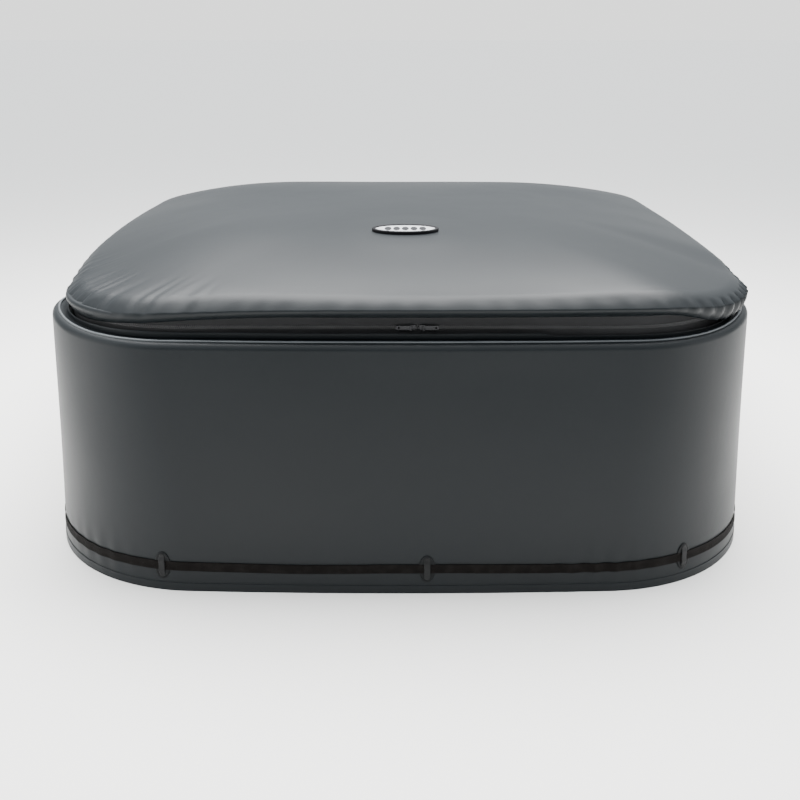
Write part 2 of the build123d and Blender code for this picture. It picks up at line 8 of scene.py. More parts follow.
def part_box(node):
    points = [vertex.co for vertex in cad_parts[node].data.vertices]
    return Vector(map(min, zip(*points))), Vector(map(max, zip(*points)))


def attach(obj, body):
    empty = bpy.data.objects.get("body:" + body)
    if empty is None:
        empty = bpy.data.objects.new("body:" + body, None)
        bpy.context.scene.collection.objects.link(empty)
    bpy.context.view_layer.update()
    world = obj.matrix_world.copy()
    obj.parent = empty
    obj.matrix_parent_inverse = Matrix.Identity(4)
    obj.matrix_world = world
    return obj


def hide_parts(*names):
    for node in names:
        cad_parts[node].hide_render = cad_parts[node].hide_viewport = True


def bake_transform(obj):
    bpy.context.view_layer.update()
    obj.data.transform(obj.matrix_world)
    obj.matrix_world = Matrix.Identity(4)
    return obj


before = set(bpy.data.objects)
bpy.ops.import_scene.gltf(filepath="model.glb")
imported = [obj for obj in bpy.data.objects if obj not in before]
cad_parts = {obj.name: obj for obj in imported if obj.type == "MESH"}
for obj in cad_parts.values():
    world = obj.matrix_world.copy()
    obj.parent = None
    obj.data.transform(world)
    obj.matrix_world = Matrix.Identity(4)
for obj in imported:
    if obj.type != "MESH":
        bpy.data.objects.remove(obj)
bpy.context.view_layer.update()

# ======== Side wall ========
# One long panel of vinyl-coated cloth wraps the tub. It leans in a little towards the top, rolls
# over at the shoulder and runs in along a ledge to the zip, where it is sewn to the zip's tape.

SIDE_BOW = 13.5             # radius of a side's slight outward bow
STRAIGHT = 4000.0           # the same for a side that is straight
CLOTH = 0.0020
wall_low, wall_high = (Vector(corner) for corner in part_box("side_wall_skin"))
WALL_HALF = wall_high.x
WALL_HEIGHT = wall_high.z
WALL_CORNER = 0.500
WALL_ROUND = 7.6            # length once round
SHOULDER_HALF = 1.027       # at the top, before the roll
SHOULDER_CORNER = 0.412
SHOULDER_RISE = 0.020
SHOULDER_RISE_REACH = 0.24
CORNER_SHARES = (0.157, 0.343, 0.657, 0.843)    # the corners' shares of the way round
ROLL = 0.020
ROLL_FOOT = WALL_HEIGHT - ROLL
MOUTH_HALF = 0.958          # the zip's line, with straight sides
MOUTH_CORNER = 0.372
BELT_HEIGHT = 0.075
BUCKLE_SHARE = 0.5580       # the buckle's share of the way round, left of the rear's middle
BUCKLE_REACH = (0.24, 0.36)    # the belt stands off this near the buckle, and lies on the wall past it
SWELL = 0.0035
SOFT_SWELL = 0.0012
BELT_NIP = 0.0016           # how deep the belt presses in
BELT_NIP_REACH = 0.020
PUCKERS = ((0.070, 0.0024), (0.885, 0.0014), (0.30, 0.0016), (0.64, 0.0018))    # place and depth
PUCKER_PITCH = 0.062
PUCKER_LENGTH = 0.13
PUCKER_HEIGHT = 0.050


def outline(share, half, corner, bow=SIDE_BOW):
    """Point and outward direction at a share of the way round, from the front's middle to the right."""
    bow_centre = half - bow
    reach = bow - corner
    centre = (bow_centre + sqrt(max(2 * reach**2 - bow_centre**2, 0))) / 2
    lean = atan2(centre, centre - bow_centre)
    side = bow * lean
    quarter = 2 * side + corner * (pi / 2 - 2 * lean)
    run = (share % 1.0) * 4 * quarter + side
    number = floor(run / quarter)
    rest = run - number * quarter
    if rest < 2 * side:
        angle = rest / bow - lean
        along = bow * sin(angle)
        out = bow_centre + bow * cos(angle)
    else:
        angle = lean + (rest - 2 * side) / corner
        along = centre + corner * sin(angle)
        out = centre + corner * cos(angle)
    turn = Matrix.Rotation(number * pi / 2, 2)
    return turn @ Vector((along, -out)), turn @ Vector((sin(angle), -cos(angle)))


def between(low, high, share):
    return low + (high - low) * share


def ease(low, high, value):
    """0 below low, 1 above high and a smooth step between them."""
    share = min(max((value - low) / (high - low), 0.0), 1.0)
    return share * share * (3 - 2 * share)


def away(share, middle):
    """Signed share of the way round from a place."""
    return (share - middle + 0.5) % 1.0 - 0.5


def hump(distance, width):
    return exp(-((distance / width) ** 2))


def uneven(share, scale, height=0.0, seed=0.0):
    """Smooth unevenness from -1 to 1 that closes up after going once round."""
    turn = share * 2 * pi
    return noise.noise(Vector((cos(turn) * scale, sin(turn) * scale, height + seed * 31.7)))


def wall_size(height, out=0.0):
    share = height / WALL_HEIGHT
    half = between(WALL_HALF, SHOULDER_HALF, share) + out
    corner = between(WALL_CORNER, SHOULDER_CORNER, share) + out
    return half, corner


def near_buckle(share):
    return 1 - ease(*BUCKLE_REACH, abs(away(share, BUCKLE_SHARE)) * WALL_ROUND)


def wall_ripple(share, height):
    """How far the cloth stands off its true line: slow swells, and puckers where the belt drags."""
    slow = uneven(share, 1.1, height * 2.2, 3) * SWELL
    soft = uneven(share, 5.4, height * 3.0, 8) * SOFT_SWELL
    taut = ease(0.0, 0.10, height) * (1 - ease(0.60, 0.70, height))
    over_belt = height - BELT_HEIGHT
    calm = 1 - near_buckle(share) * hump(over_belt, 0.10)
    nip = -BELT_NIP * hump(over_belt, BELT_NIP_REACH)
    pucker = 0.0
    for middle, size in PUCKERS:
        near = away(share, middle) * WALL_ROUND
        fan = cos(near * 2 * pi / PUCKER_PITCH + 1.5 * uneven(share, 11, height * 6, 1))
        pucker += size * fan * hump(near, PUCKER_LENGTH) * hump(over_belt, PUCKER_HEIGHT)
    return ((slow + soft) * taut + nip + pucker) * calm


def shoulder_rise(share):
    """The tub pushes the shoulder up a little where the corners turn."""
    near = (away(share, middle) * WALL_ROUND for middle in CORNER_SHARES)
    return SHOULDER_RISE * sum(hump(distance, SHOULDER_RISE_REACH) for distance in near)


def wall_place(share, height, out=0.0):
    """A point on the wall's outer face."""
    half, corner = wall_size(height, out)
    point, normal = outline(share, half, corner)
    point += normal * wall_ripple(share, height)
    return Vector((point.x, point.y, height))


# rows of the panel's grid, close together at the foot and over the roll
WALL_COLUMNS = 760
FOOT_ROWS = 26
STRAIGHT_ROWS = 22
ROLL_ROWS = 12
LEDGE_ROWS = 4
WALL_ROWS = FOOT_ROWS + STRAIGHT_ROWS + ROLL_ROWS + LEDGE_ROWS
FOOT_TOP = 0.16


def wall_skin_place(share, rise):
    row = rise * WALL_ROWS
    if row <= FOOT_ROWS:
        return wall_place(share, FOOT_TOP * row / FOOT_ROWS)
    row -= FOOT_ROWS
    if row <= STRAIGHT_ROWS:
        point = wall_place(share, between(FOOT_TOP, ROLL_FOOT, row / STRAIGHT_ROWS))
        point.z += shoulder_rise(share) * ease(0.3, 1.0, row / STRAIGHT_ROWS)
        return point
    row -= STRAIGHT_ROWS
    half, corner = wall_size(ROLL_FOOT)
    if row <= ROLL_ROWS:
        angle = row / ROLL_ROWS * pi / 2
        inset = ROLL * (1 - cos(angle))
        point, normal = outline(share, half - inset, corner - inset)
        point += normal * wall_ripple(share, ROLL_FOOT) * cos(angle)
        return Vector((point.x, point.y, ROLL_FOOT + ROLL * sin(angle) + shoulder_rise(share)))
    row -= ROLL_ROWS
    start, _ = outline(share, half - ROLL, corner - ROLL)
    end, _ = outline(share, MOUTH_HALF, MOUTH_CORNER, STRAIGHT)
    inward = row / LEDGE_ROWS
    point = start.lerp(end, inward)
    return Vector((point.x, point.y, WALL_HEIGHT + shoulder_rise(share) * (1 - inward)))


def from_bmesh(name, bm, smooth=True):
    mesh = bpy.data.meshes.new(name)
    bm.to_mesh(mesh)
    bm.free()
    if smooth:
        mesh.shade_smooth()
    piece = bpy.data.objects.new(name, mesh)
    bpy.context.collection.objects.link(piece)
    return piece


def wrap(name, columns, rows, place, weld=1e-5):
    """A surface round the cover: a grid whose width goes once round and whose height follows place."""
    bm = bmesh.new()
    bm.loops.layers.uv.new("UVMap")
    bmesh.ops.create_grid(bm, x_segments=columns, y_segments=rows, size=0.5, calc_uvs=True)
    for vert in bm.verts:
        vert.co = place(vert.co.x + 0.5, vert.co.y + 0.5)
    bmesh.ops.remove_doubles(bm, verts=bm.verts, dist=weld)
    bmesh.ops.recalc_face_normals(bm, faces=bm.faces)
    return from_bmesh(name, bm)


def thicken(piece, thickness, inward=True):
    layer = piece.modifiers.new("Thickness", "SOLIDIFY")
    layer.thickness = thickness
    layer.offset = -1 if inward else 1


def shade(r, g, b):
    return (r, g, b, 1.0)


def add_node(tree, kind, sockets=None, **settings):
    """A node with its settings, and its sockets set to values or linked to other nodes' outputs."""
    made = tree.nodes.new(kind)
    for name, value in settings.items():
        setattr(made, name, value)
    for key, value in (sockets or {}).items():
        if isinstance(value, bpy.types.NodeSocket):
            tree.links.new(value, made.inputs[key])
        else:
            made.inputs[key].default_value = value
    return made


def calc(tree, operation, first, second=0.5, third=0.0):
    made = add_node(tree, "ShaderNodeMath", {0: first, 1: second, 2: third}, operation=operation)
    return made.outputs["Value"]


def ramp(tree, value, low, high):
    """0 at low and 1 at high."""
    made = add_node(tree, "ShaderNodeMapRange", {"Value": value, "From Min": low, "From Max": high})
    return made.outputs["Result"]


MIX_FIRST, MIX_SECOND, MIX_COLOUR = 6, 7, 2    # a Mix node's colour sockets share their names with others


def blend_colour(tree, share, first, second):
    sockets = {"Factor": share, MIX_FIRST: first, MIX_SECOND: second}
    return add_node(tree, "ShaderNodeMix", sockets, data_type="RGBA").outputs[MIX_COLOUR]


def new_group(name, *numbers):
    """A look that puts out a colour and the named numbers."""
    group = bpy.data.node_groups.new(name, "ShaderNodeTree")
    group.interface.new_socket("Color", in_out="OUTPUT", socket_type="NodeSocketColor")
    for label in numbers:
        group.interface.new_socket(label, in_out="OUTPUT", socket_type="NodeSocketFloat")
    return group


def new_material(name, look=None, bump=1.0, bump_distance=0.001, **shader):
    """A material with one shader. A look, if given, feeds its colour, its bump and often its roughness."""
    material = bpy.data.materials.new(name)
    material.use_nodes = True
    tree = material.node_tree
    principled = tree.nodes["Principled BSDF"]
    for key, value in shader.items():
        principled.inputs[key.replace("_", " ")].default_value = value
    if look:
        surface = add_node(tree, "ShaderNodeGroup", node_tree=look).outputs
        tree.links.new(surface["Color"], principled.inputs["Base Color"])
        if "Roughness" in surface:
            tree.links.new(surface["Roughness"], principled.inputs["Roughness"])
        relief = {"Strength": bump, "Distance": bump_distance, "Height": surface["Height"]}
        normal = add_node(tree, "ShaderNodeBump", relief).outputs["Normal"]
        tree.links.new(normal, principled.inputs["Normal"])
    return material


def laminate_look(name, base, scuff, rough):
    """Vinyl-coated cloth: fine pebble grain over a faint weave, soft creases, and dull handled patches."""
    group = new_group(name, "Roughness", "Height")
    place = add_node(group, "ShaderNodeTexCoord").outputs["Object"]
    pebble = add_node(group, "ShaderNodeTexVoronoi", {"Vector": place, "Scale": 620.0}, feature="SMOOTH_F1")
    weave = add_node(group, "ShaderNodeTexNoise", {"Vector": place, "Scale": 240.0, "Detail": 2.0})
    crumpled = {"Vector": place, "Scale": 5.0, "Detail": 5.0, "Roughness": 0.6, "Distortion": 0.8}
    crease = add_node(group, "ShaderNodeTexNoise", crumpled)
    patch = add_node(group, "ShaderNodeTexNoise", {"Vector": place, "Scale": 1.7, "Detail": 4.0})
    grain = calc(group, "MULTIPLY", pebble.outputs["Distance"], 0.22)
    cloth = calc(group, "MULTIPLY", weave.outputs["Fac"], 0.12)
    folds = calc(group, "MULTIPLY", crease.outputs["Fac"], 2.4)
    height = calc(group, "ADD", calc(group, "ADD", grain, cloth), folds)
    worn = ramp(group, patch.outputs["Fac"], 0.35, 0.75)
    colour = blend_colour(group, worn, base, scuff)
    speck = calc(group, "MULTIPLY", ramp(group, weave.outputs["Fac"], 0.3, 0.7), 0.18)
    dark = blend_colour(group, speck, colour, shade(0.004, 0.005, 0.006))
    dull = calc(group, "MULTIPLY_ADD", worn, 0.10, rough)
    add_node(group, "NodeGroupOutput", {"Color": dark, "Roughness": dull, "Height": height})
    return group


SLATE = shade(0.0060, 0.0080, 0.0093)
SCUFFED_SLATE = shade(0.0082, 0.0104, 0.0120)
slate_look = laminate_look("Slate laminate", SLATE, SCUFFED_SLATE, 0.38)
slate = new_material("Slate laminate", slate_look, 0.30, 0.001, Specular_IOR_Level=0.19)

side_wall = wrap("side_wall", WALL_COLUMNS, WALL_ROWS, wall_skin_place)
thicken(side_wall, CLOTH)
side_wall.data.materials.append(slate)
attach(side_wall, "wall")
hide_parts("side_wall_skin")

# ======== Hem ========
# The hem is the panel's lower edge turned up and welded to itself, so it reads as a thicker band
# of the same cloth round the foot.

HEM_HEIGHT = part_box("bottom_hem")[1][2]
HEM_THICKNESS = 0.0017
HEM_SINK = 0.0002           # how far its back lies in the wall's cloth
STRIP_COLUMNS = 960


def flat_topped(wave):
    """A wave with its crests cut off at 1 and -1, for the section of a strip with rounded edges."""
    return max(min(wave, 1), -1)


def strip_round(name, low, high, stand, thickness, rows, lift=None):
    """A closed strip round the wall. Stand is how far its back is from the wall; lift moves its edges."""
    def place(share, rise):
        turn = rise * 2 * pi
        middle = (low + high) / 2
        height = middle - (high - low) / 2 * flat_topped(1.35 * cos(turn))
        if lift:
            height += lift(share, height)
        push = stand(share) + thickness / 2 * (1 + flat_topped(3 * sin(turn)))
        return wall_place(share, height, push)
    return wrap(name, STRIP_COLUMNS, rows, place)


hem = strip_round("hem", 0.0, HEM_HEIGHT, lambda share: -HEM_SINK, HEM_THICKNESS, 16)
hem.data.materials.append(slate)
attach(hem, "wall")
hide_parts("bottom_hem")

# ======== Shoulder welt ========
# The welt is a bead of melted vinyl along the turn of the shoulder, where the wall's cloth is
# welded to the ledge. It is a little uneven, and its colour is painted much paler than the
# cloth's: a painted highlight along the turn of the shoulder.

WELT_RADIUS = 0.0034
WELT_HALF = SHOULDER_HALF - ROLL
WELT_CORNER = SHOULDER_CORNER - ROLL
WELT_LIFT = 0.0006
WELT_WANDER = 0.0012
WELT_FATTER = 0.18          # share of its radius by which the bead varies


def welt_place(share, turn):
    wander = uneven(share, 6, 0.0, 5) * WELT_WANDER
    fat = WELT_RADIUS * (1 + WELT_FATTER * uneven(share, 26, 0.0, 6))
    point, normal = outline(share, WELT_HALF + wander, WELT_CORNER)
    point += normal * fat * cos(turn * 2 * pi)
    top = WALL_HEIGHT + shoulder_rise(share)
    return Vector((point.x, point.y, top + WELT_LIFT + fat * sin(turn * 2 * pi)))


# the welt's colour is the cloth's painted about ten times paler, a painted highlight on the shoulder's turn
welt_highlight_look = laminate_look("Welt laminate, painted highlight", shade(0.060, 0.068, 0.074), shade(0.085, 0.094, 0.10), 0.34)
welt_painted_highlight = new_material("Welt laminate, painted highlight", welt_highlight_look, 0.3, 0.001, Specular_IOR_Level=0.6)
welt = wrap("welt", 1200, 10, welt_place)
welt.data.materials.append(welt_painted_highlight)
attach(welt, "wall")
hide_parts("shoulder_welt")

# ======== Zip guard ========
# A low strip of stiffened cloth stands on the ledge in front of the zip and keeps rain off it.
# It is a bit wavy, lower at the right, and left out across the rear, which has no zip.

GUARD_HEIGHT = 0.017
GUARD_HALF = 0.982
GUARD_CORNER = 0.367
GUARD_THICKNESS = 0.0016
GUARD_LOWER = 0.42          # share of its height lost at the right
GUARD_STEP = (0.052, 0.058)    # where it gets lower, as shares of the way round
GUARD_WAVE = 0.0012
HINGE_SHARE = 0.0775        # half of the rear stretch without a zip, as a share of the way round
REAR = 0.5                  # the rear's middle, as a share of the way round


def guard_place(share, rise):
    rear = abs(away(share, REAR))
    full = GUARD_HEIGHT * ease(HINGE_SHARE, HINGE_SHARE + 0.004, rear)
    full *= 1 - GUARD_LOWER * ease(*GUARD_STEP, away(share, 0.0))
    full *= 1 + 0.10 * uneven(share, 9, 0.0, 2)
    turn = rise * 2 * pi
    height = full * (0.5 - 0.5 * flat_topped(1.2 * cos(turn)))
    sway = GUARD_WAVE * uneven(share, 6, 0.0, 4) * height / GUARD_HEIGHT
    half = GUARD_HALF + sway + GUARD_THICKNESS / 2 * flat_topped(3 * sin(turn))
    point, _ = outline(share, half, GUARD_CORNER)
    return Vector((point.x, point.y, WALL_HEIGHT + height))


guard = wrap("zip_guard_strip", STRIP_COLUMNS, 12, guard_place)
guard.data.materials.append(slate)
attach(guard, "wall")
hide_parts("zip_guard")

# ======== Wall's foam and lining ========
# Inside, aluminised film lies over a sheet of foam. The two are heat-sealed together along lines,
# so that the film stands up in squares, and fixed to the cloth at the top and the bottom.

QUILT = 0.12
QUILT_DEPTH = 0.0035
QUILT_ROUND = 63            # squares round the wall
WALL_LAYERS = 0.009         # cloth and foam
LINING_FOOT = 0.020
LINING_TOP = WALL_HEIGHT - WALL_LAYERS
LINING_SIDE = 0.88          # share of its rows that lie on the side
WALL_FILM = 0.0012


def quilt(first, second, pitch=QUILT):
    """0 on a sealed line, 1 in the middle of a square."""
    return sqrt(abs(sin(pi * first / pitch)) * abs(sin(pi * second / pitch)))


def wall_lining_place(share, rise):
    if rise < LINING_SIDE:
        height = between(LINING_FOOT, LINING_TOP - ROLL, rise / LINING_SIDE)
        half, corner = wall_size(height, -WALL_LAYERS)
        puff = QUILT_DEPTH * quilt(share * QUILT_ROUND * QUILT, height)
        point, _ = outline(share, half - puff, corner - puff)
        return Vector((point.x, point.y, height))
    turn = (rise - LINING_SIDE) / (1 - LINING_SIDE)
    half, corner = wall_size(LINING_TOP - ROLL, -WALL_LAYERS)
    start, _ = outline(share, half, corner)
    end, _ = outline(share, MOUTH_HALF, MOUTH_CORNER, STRAIGHT)
    angle = min(turn * 2, 1) * pi / 2
    inner = start.lerp(end, 0.5 * (1 - cos(angle)) + 0.5 * max(turn * 2 - 1, 0))
    return Vector((inner.x, inner.y, LINING_TOP - ROLL + ROLL * sin(angle)))


def foil_look():
    """Aluminised film, crinkled and in places dull."""
    group = new_group("Foil", "Roughness", "Height")
    place = add_node(group, "ShaderNodeTexCoord").outputs["Object"]
    crinkle = add_node(group, "ShaderNodeTexVoronoi", {"Vector": place, "Scale": 55.0}, feature="F1")
    fine = add_node(group, "ShaderNodeTexNoise", {"Vector": place, "Scale": 130.0, "Detail": 6.0})
    broad = add_node(group, "ShaderNodeTexNoise", {"Vector": place, "Scale": 9.0, "Detail": 3.0})
    finer = calc(group, "MULTIPLY", fine.outputs["Fac"], 0.6)
    height = calc(group, "ADD", crinkle.outputs["Distance"], finer)
    mask = ramp(group, broad.outputs["Fac"], 0.3, 0.7)
    colour = blend_colour(group, mask, shade(0.34, 0.35, 0.37), shade(0.50, 0.51, 0.53))
    dull = calc(group, "MULTIPLY_ADD", mask, 0.18, 0.28)
    add_node(group, "NodeGroupOutput", {"Color": colour, "Roughness": dull, "Height": height})
    return group


foil = new_material("Foil", foil_look(), 0.5, 0.002, Metallic=0.85)
wall_inside = wrap("wall_foil", 630, 56, wall_lining_place)
thicken(wall_inside, WALL_FILM, inward=False)
wall_inside.data.materials.append(foil)
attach(wall_inside, "wall")
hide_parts("wall_lining", "wall_foam")

# ======== Wall's closing strip ========
# The wall is one panel whose two ends meet at the rear. A strip of the same cloth is welded over
# the joint, from the hem to the shoulder.


def dress(node, material):
    """Give a CAD node that keeps its shape its finished material."""
    for holder in bpy.data.objects[node].material_slots:
        holder.material = material


dress("wall_closing_strip", slate)

# ======== Zip tapes ========
# A zip runs round the front and both sides. Each of its rows of teeth is held by a woven tape: the
# lower tape is sewn to the wall's ledge, the upper one to the lid, and the pocket zip has its own.


def moulded_look(name, base, rough, scale=300.0):
    """Moulded plastic, painted metal or close twill: a fine spark texture and small gloss changes."""
    group = new_group(name, "Roughness", "Height")
    place = add_node(group, "ShaderNodeTexCoord").outputs["Object"]
    fine = add_node(group, "ShaderNodeTexNoise", {"Vector": place, "Scale": scale, "Detail": 3.0})
    broad = add_node(group, "ShaderNodeTexNoise", {"Vector": place, "Scale": 14.0, "Detail": 3.0})
    mask = ramp(group, broad.outputs["Fac"], 0.35, 0.7)
    lighter = shade(*(min(channel * 1.5 + 0.006, 1.0) for channel in base[:3]))
    colour = blend_colour(group, mask, base, lighter)
    dull = calc(group, "MULTIPLY_ADD", mask, 0.12, rough)
    surface = {"Color": colour, "Roughness": dull, "Height": fine.outputs["Fac"]}
    add_node(group, "NodeGroupOutput", surface)
    return group


twill_look = moulded_look("Zip tape twill", shade(0.010, 0.010, 0.011), 0.8, 700.0)
tape_cloth = new_material("Zip tape", twill_look, 0.5, 0.0005)
for node in ("lower_zip_tape", "upper_zip_tape", "pocket_zip_tape"):
    dress(node, tape_cloth)

# ======== Zip teeth ========
# The teeth are moulded in black plastic on the edges of the two tapes. The lid's row sits over
# the wall's row, half a tooth further on.

TOOTH_PITCH = 0.0054
TOOTH_DEPTH = 0.0048
TOOTH_SHARE = 0.55          # share of the pitch that a tooth fills
TOOTH_TALL = 0.96           # share of the row's height
TAPE = 0.0015
tooth_look = moulded_look("Zip coil", shade(0.018, 0.018, 0.020), 0.35, 400.0)
tooth_plastic = new_material("Zip coil", tooth_look, 0.15, 0.0003)


def ring_teeth(name, node, shift):
    """One row of teeth along the zip, where its CAD bar is."""
    low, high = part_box(node)
    middle = (low[2] + high[2]) / 2
    tall = (high[2] - low[2]) * TOOTH_TALL
    half = MOUTH_HALF - TAPE / 2
    straight = 2 * (MOUTH_HALF - MOUTH_CORNER)
    count = int((4 * straight + 2 * pi * MOUTH_CORNER) / TOOTH_PITCH)
    size = Matrix.Diagonal((TOOTH_PITCH * TOOTH_SHARE, TOOTH_DEPTH, tall, 1))
    bm = bmesh.new()
    for number in range(count):
        share = (number + shift) / count
        if abs(away(share, REAR)) < HINGE_SHARE:
            continue
        point, normal = outline(share, half, MOUTH_CORNER, STRAIGHT)
        turn = Matrix(((-normal.y, normal.x, 0), (normal.x, normal.y, 0), (0, 0, 1))).to_4x4()
        matrix = Matrix.Translation((point.x, point.y, middle)) @ turn @ size
        bmesh.ops.create_cube(bm, size=1.0, matrix=matrix)
    row = from_bmesh(name, bm, smooth=False)
    row.data.materials.append(tooth_plastic)
    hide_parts(node)
    return row


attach(ring_teeth("wall_teeth", "lower_zip_teeth", 0.0), "wall")
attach(ring_teeth("lid_teeth", "upper_zip_teeth", 0.5), "lid")
dress("pocket_zip_teeth", tooth_plastic)

# ======== Zip stops, sliders and pulls ========
# Plastic stops close the rows at the rear. Two cast sliders meet at the front, each with a pull
# that swings on its bridge, and the pocket zip in the lid's lining has one of its own.

plastic_look = moulded_look("Black plastic", shade(0.012, 0.012, 0.013), 0.42)
black_plastic = new_material("Black plastic", plastic_look, 0.25, 0.0004)
metal_look = moulded_look("Zip metal", shade(0.022, 0.022, 0.024), 0.38, 500.0)
gunmetal = new_material("Zip metal", metal_look, 0.15, 0.0003, Metallic=0.6)
dress("zip_end_stops", black_plastic)
for side in ("left", "right", "pocket"):
    dress(side + "_zip_slider", gunmetal)
    dress(side + "_zip_pull", gunmetal)

# ======== Lid's cloth ========
# The lid is a shallow pillow of the wall's cloth, welded along its widest line, with foam under the
# top. Its left front corner has sunk and wrinkled, and the right one is puffed and gathered.

lid_low, lid_high = (Vector(corner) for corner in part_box("lid_side_band"))
LID_BASE = lid_low.z
LID_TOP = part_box("lid_top_skin")[1][2]
LID_ROUND = 7.2             # length once round
EDGE_HALF = 0.972           # where the cloth turns in under the lid
EDGE_CORNER = 0.366
LEDGE = 0.040               # how far it runs in
UNDER_LIFT = 0.0004
TUCK = lid_high.z - lid_low.z
BULGE_HALF = lid_high.x     # the widest line
BULGE_CORNER = 0.400
RIDGE_HALF = 0.962          # where the edge's roll runs on into the crown
RIDGE_CORNER = 0.360
RIDGE_RISE = 0.064
CROWN = LID_TOP - LID_BASE - RIDGE_RISE
RUN_ON = 0.426              # makes the roll's top end run on into the crown's slope
POLE = 0.999                # past this share of the way in, all points are the middle
BADGE = Vector((0.016, -0.504))
BADGE_CALM = (0.10, 0.24)   # the cloth is smooth this near the badge, and free past it

LEFT_CORNER = 0.866         # shares of the way round
RIGHT_CORNER = 0.150
SUNK_REACH = 0.42
SUNK_DROP = (0.046, 0.034)  # at the zip's edge and at the weld
SUNK_IN = (0.027, 0.036)
PUFF_MIDDLE = -0.03         # from the right corner, along the edge
PUFF_REACH = 0.27
PUFF_DROP = (0.049, 0.020)
PUFF_OUT = 0.004
SLIPPED = (0.10, 0.36)      # share of the tuck over which the slip comes in
FADE_IN = 0.45              # share of the way in by which it is gone
LID_SWELL = 0.006
LUMPS = 0.0045
CREASE_OUT = 0.0060
CREASE_UP = 0.0095
CREASE_REACH = 0.30
CREASE_IN = 0.11
GATHER_PITCH = 0.044
GATHER_REACH = 0.24
GATHER_OUT = 0.0095
GATHER_UP = 0.0020
PULLS = 85                  # faint gathers once round
PULL_OUT = 0.0011

LID_COLUMNS = 700
UNDER_ROWS = 2
TUCK_ROWS = 16
TURN_ROWS = 22
CROWN_ROWS = 30
LID_ROWS = UNDER_ROWS + TUCK_ROWS + TURN_ROWS + CROWN_ROWS


def lid_profile(row):
    """Height over the underside, half size and corner of one row of the cloth, and its share of each part."""
    if row <= UNDER_ROWS:
        share = row / UNDER_ROWS
        half = between(EDGE_HALF - LEDGE, EDGE_HALF, share)
        return UNDER_LIFT, half, EDGE_CORNER - LEDGE * (1 - share), 0, 0, 0
    row -= UNDER_ROWS
    if row <= TUCK_ROWS:
        share = row / TUCK_ROWS
        half = between(EDGE_HALF, BULGE_HALF, sin(share * pi / 2) ** 0.8)
        return TUCK * share, half, between(EDGE_CORNER, BULGE_CORNER, share), share, 0, 0
    row -= TUCK_ROWS
    if row <= TURN_ROWS:
        share = row / TURN_ROWS
        half = between(BULGE_HALF, RIDGE_HALF, share)
        corner = between(BULGE_CORNER, RIDGE_CORNER, share)
        climb = (RIDGE_RISE - TUCK) * (1 - RUN_ON * (1 - share) - (1 - RUN_ON) * (1 - share) ** 2)
        return TUCK + climb, half, corner, 1, share, 0
    inward = (row - TURN_ROWS) / CROWN_ROWS
    share = 1 - inward
    return RIDGE_RISE + CROWN * (1 - share**3), RIDGE_HALF * share, RIDGE_CORNER * share, 1, 1, inward


def lid_place(share, rise, inset=0.0):
    """A point on the lid's cloth, or inside it by inset."""
    height, half, corner, tuck, turn, inward = lid_profile(rise * LID_ROWS)
    point, normal = outline(share, max(half - inset, 0.0005), max(corner - inset, 0.0002))
    if inward > POLE:
        return Vector((0.0, 0.0, LID_TOP - inset))
    left = away(share, LEFT_CORNER) * LID_ROUND
    right = away(share, RIGHT_CORNER) * LID_ROUND
    sunk = hump(left, SUNK_REACH)
    puffed = exp(-((right - PUFF_MIDDLE) / PUFF_REACH) ** 4)
    fading = 1 - ease(0.0, FADE_IN, inward)

    # both corners have slipped down past the zip, and the right one hangs to the shoulder
    slipped = ease(*SLIPPED, tuck)
    to_weld = max(tuck - SLIPPED[1], 0) / (1 - SLIPPED[1])
    low = SUNK_DROP[0] * sunk + PUFF_DROP[0] * puffed
    fold = SUNK_DROP[1] * sunk + PUFF_DROP[1] * puffed
    drop = slipped * between(low, fold, to_weld) * fading
    out = PUFF_OUT * puffed * ease(0.30, 1.0, tuck) * fading
    out -= sunk * between(*SUNK_IN, to_weld) * slipped * fading

    # slow unevenness of the pillow, none under the badge
    calm = ease(*BADGE_CALM, (point - BADGE).length) * ease(0.0, 0.25, 1 - inward)
    swell = noise.noise(Vector((point.x * 1.7, point.y * 1.7, 0.5))) * LID_SWELL * calm * turn
    lump = uneven(share, 4.2, rise * 4, 2) * LUMPS * turn * fading

    # short creases that run in from the left corner's weld
    reach = 0.05 * turn + 0.96 * inward
    crease = 0.5 - 2 * abs(noise.noise(Vector((left * 22, reach * 6 + left * 3, 7.0))))
    crumple = hump(left - 0.02, CREASE_REACH) * (0.8 + 0.5 * uneven(share, 14, 0.0, 3))
    crumple *= ease(0.3, 1.0, tuck) * (1 - ease(0.0, CREASE_IN, inward))

    # the right corner is gathered along its weld, and faintly so is the cloth all the way round
    gather = sin(right * 2 * pi / GATHER_PITCH + 2.6 * uneven(share, 9, 0.0, 5))
    folds = hump(right - PUFF_MIDDLE, GATHER_REACH) * ease(0.10, 0.4, tuck) * (1 - ease(0.0, 0.5, turn))
    pull = sin(share * 2 * pi * PULLS + 3 * uneven(share, 8, 0.0, 9))
    pull *= ease(0.2, 1, tuck) * (1 - ease(0, 0.7, turn))

    out += lump + CREASE_OUT * crease * crumple
    out += GATHER_OUT * (gather - 0.4 * abs(gather)) * folds + PULL_OUT * pull
    up = swell + CREASE_UP * crease * crumple + GATHER_UP * gather * folds - drop
    point += normal * out * ease(0.10, 0.30, tuck)
    return Vector((point.x, point.y, LID_BASE + height + up - inset * ease(0.3, 0.6, tuck)))


lid_cloth = wrap("lid_cloth", LID_COLUMNS, LID_ROWS, lid_place, weld=2e-4)
thicken(lid_cloth, CLOTH)
lid_cloth.data.materials.append(slate)
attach(lid_cloth, "lid")
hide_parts("lid_top_skin", "lid_side_band", "lid_foam", "lid_seam")

# ======== Air bladder ========
# A vinyl bladder fills the pillow and holds the lid up so that rain runs off. Upright webs, welded
# between its two faces, keep it flat.

